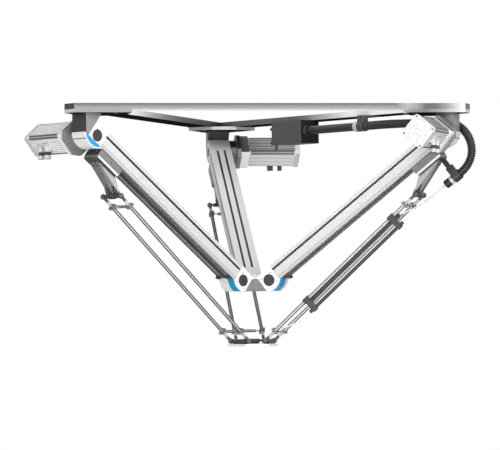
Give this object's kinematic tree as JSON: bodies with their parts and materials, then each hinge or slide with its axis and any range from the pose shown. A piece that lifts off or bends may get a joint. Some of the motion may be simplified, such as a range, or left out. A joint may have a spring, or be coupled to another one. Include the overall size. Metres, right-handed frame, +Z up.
{
  "type": "delta robot",
  "caption": "Linear delta robot: triangular top frame, sloping belt axes in a tripod, motors, carriages, ball-jointed rod pairs and a small tool plate.",
  "frame": {"origin": "centre of the frame's mounting circles, in the plane of the frame's top face", "axes": "+Z up, square to the frame; -Y towards the front beam; the rear axis lies over +Y"},
  "size_m": [1.5555, 1.4504, 0.8367],
  "materials": {
    "pale_frame": "satin",
    "dark_bracket": "satin",
    "silver": "satin",
    "cast_grey": "satin",
    "blue_cover": "glossy",
    "black_plastic": "satin",
    "rubber": "matte",
    "motor_grey": "satin",
    "steel": "satin",
    "dark_box": "satin",
    "hose_rubber": "satin",
    "clear_tube": "glossy",
    "braided_sleeve": "matte",
    "carbon": "satin",
    "spring_black": "satin",
    "dark_plate": "satin"
  },
  "bodies": {
    "axes": {"frame_beams": "pale_frame", "corner_plates": "pale_frame", "corner_brackets": "dark_bracket", "axis_profile_rear": "silver", "axis_profile_left": "silver", "axis_profile_right": "silver", "drive_head_rear": "silver", "drive_head_left": "silver", "drive_head_right": "silver", "tail_head_rear": "silver", "tail_head_left": "silver", "tail_head_right": "silver", "centre_hub": "cast_grey", "head_covers": "blue_cover", "bearing_caps": "black_plastic", "end_buffers": "rubber", "coupling_housings": "silver", "servo_motor_rear": "motor_grey", "servo_motor_left": "motor_grey", "servo_motor_right": "motor_grey", "motor_covers": "motor_grey", "motor_connectors": "black_plastic", "drive_belts": "rubber", "guide_rails": "steel", "hose_box": "dark_box", "hose_hanger": "dark_box", "energy_hose": "hose_rubber"},
    "drive_pulley_rear": {"drive_pulley_rear": "steel"},
    "drive_pulley_left": {"drive_pulley_left": "steel"},
    "drive_pulley_right": {"drive_pulley_right": "steel"},
    "tail_pulley_rear": {"tail_pulley_rear": "steel"},
    "tail_pulley_left": {"tail_pulley_left": "steel"},
    "tail_pulley_right": {"tail_pulley_right": "steel"},
    "carriage_rear": {"carriage_rear": "cast_grey", "carriage_bracket_rear": "cast_grey", "upper_ball_bar_rear": "steel"},
    "carriage_left": {"carriage_left": "cast_grey", "carriage_bracket_left": "cast_grey", "upper_ball_bar_left": "steel"},
    "carriage_right": {"carriage_right": "cast_grey", "carriage_bracket_right": "cast_grey", "upper_ball_bar_right": "steel", "hose_clamp": "dark_bracket", "air_tube_upper": "clear_tube"},
    "rods_rear": {"rods_rear": "carbon", "rod_ends_rear": "black_plastic", "spring_links_rear": "spring_black"},
    "rods_left": {"rods_left": "carbon", "rod_ends_left": "black_plastic", "spring_links_left": "spring_black"},
    "rods_right": {"rods_right": "carbon", "rod_ends_right": "black_plastic", "spring_links_right": "spring_black", "air_sleeves": "braided_sleeve", "sleeve_clamps": "black_plastic", "air_tube_lower": "clear_tube"},
    "tool": {"tool_plate": "dark_plate", "lower_ball_bar_rear": "steel"},
    "bar_left": {"lower_ball_bar_left": "steel"},
    "bar_right": {"lower_ball_bar_right": "steel"}
  },
  "joints": [
    {"name": "slide_rear", "type": "slide", "parent": "axes", "child": "carriage_rear", "axis": [0, -0.7902, -0.6129], "range_m": [0, 0.25]},
    {"name": "slide_left", "type": "slide", "parent": "axes", "child": "carriage_left", "axis": [0.6843, 0.3951, -0.6129], "range_m": [0, 0.25]},
    {"name": "slide_right", "type": "slide", "parent": "axes", "child": "carriage_right", "axis": [-0.6843, 0.3951, -0.6129], "range_m": [0, 0.25], "deforming": ["energy_hose"]},
    {"name": "swing_rods_rear", "type": "hinge", "parent": "carriage_rear", "child": "rods_rear", "pos_m": [0, 0.62296, -0.31288], "axis": [1, 0, 0], "range_deg": [0, 19.26]},
    {"name": "swing_rods_left", "type": "hinge", "parent": "carriage_left", "child": "rods_left", "pos_m": [-0.5395, -0.31148, -0.31288], "axis": [-0.5, 0.866, 0], "range_deg": [0, 19.26]},
    {"name": "swing_rods_right", "type": "hinge", "parent": "carriage_right", "child": "rods_right", "pos_m": [0.5395, -0.31148, -0.31288], "axis": [-0.5, -0.866, 0], "range_deg": [0, 19.26], "deforming": ["air_tube_upper"]},
    {"name": "level_tool", "type": "hinge", "parent": "rods_rear", "child": "tool", "pos_m": [0, 0.0615, -0.817], "axis": [-1, 0, 0], "range_deg": [0, 19.26]},
    {"name": "level_bar_left", "type": "hinge", "parent": "rods_left", "child": "bar_left", "pos_m": [-0.05326, -0.03075, -0.817], "axis": [0.5, -0.866, 0], "range_deg": [0, 19.26]},
    {"name": "level_bar_right", "type": "hinge", "parent": "rods_right", "child": "bar_right", "pos_m": [0.05326, -0.03075, -0.817], "axis": [0.5, 0.866, 0], "range_deg": [0, 19.26]},
    {"name": "turn_drive_rear", "type": "hinge", "parent": "axes", "child": "drive_pulley_rear", "pos_m": [0, 0.71334, -0.10863], "axis": [-1, 0, 0], "range_deg": [0, 744.2]},
    {"name": "turn_drive_left", "type": "hinge", "parent": "axes", "child": "drive_pulley_left", "pos_m": [-0.61777, -0.35667, -0.10863], "axis": [0.5, -0.866, 0], "range_deg": [0, 744.2]},
    {"name": "turn_drive_right", "type": "hinge", "parent": "axes", "child": "drive_pulley_right", "pos_m": [0.61777, -0.35667, -0.10863], "axis": [0.5, 0.866, 0], "range_deg": [0, 744.2]},
    {"name": "turn_tail_rear", "type": "hinge", "parent": "axes", "child": "tail_pulley_rear", "pos_m": [0, 0.076, -0.603], "axis": [-1, 0, 0], "range_deg": [0, 744.2]},
    {"name": "turn_tail_left", "type": "hinge", "parent": "axes", "child": "tail_pulley_left", "pos_m": [-0.06582, -0.038, -0.603], "axis": [0.5, -0.866, 0], "range_deg": [0, 744.2]},
    {"name": "turn_tail_right", "type": "hinge", "parent": "axes", "child": "tail_pulley_right", "pos_m": [0.06582, -0.038, -0.603], "axis": [0.5, 0.866, 0], "range_deg": [0, 744.2]}
  ],
  "couplings": [
    {"joint": "slide_left", "follows": "slide_rear", "ratio": 1},
    {"joint": "slide_right", "follows": "slide_rear", "ratio": 1},
    {"joint": "swing_rods_rear", "follows": "slide_rear", "rad_per_m": 1.3436},
    {"joint": "swing_rods_left", "follows": "slide_rear", "rad_per_m": 1.3436},
    {"joint": "swing_rods_right", "follows": "slide_rear", "rad_per_m": 1.3436},
    {"joint": "level_tool", "follows": "slide_rear", "rad_per_m": 1.3436},
    {"joint": "level_bar_left", "follows": "slide_rear", "rad_per_m": 1.3436},
    {"joint": "level_bar_right", "follows": "slide_rear", "rad_per_m": 1.3436},
    {"joint": "turn_drive_rear", "follows": "slide_rear", "rad_per_m": 51.948},
    {"joint": "turn_drive_left", "follows": "slide_rear", "rad_per_m": 51.948},
    {"joint": "turn_drive_right", "follows": "slide_rear", "rad_per_m": 51.948},
    {"joint": "turn_tail_rear", "follows": "slide_rear", "rad_per_m": 51.948},
    {"joint": "turn_tail_left", "follows": "slide_rear", "rad_per_m": 51.948},
    {"joint": "turn_tail_right", "follows": "slide_rear", "rad_per_m": 51.948}
  ]
}
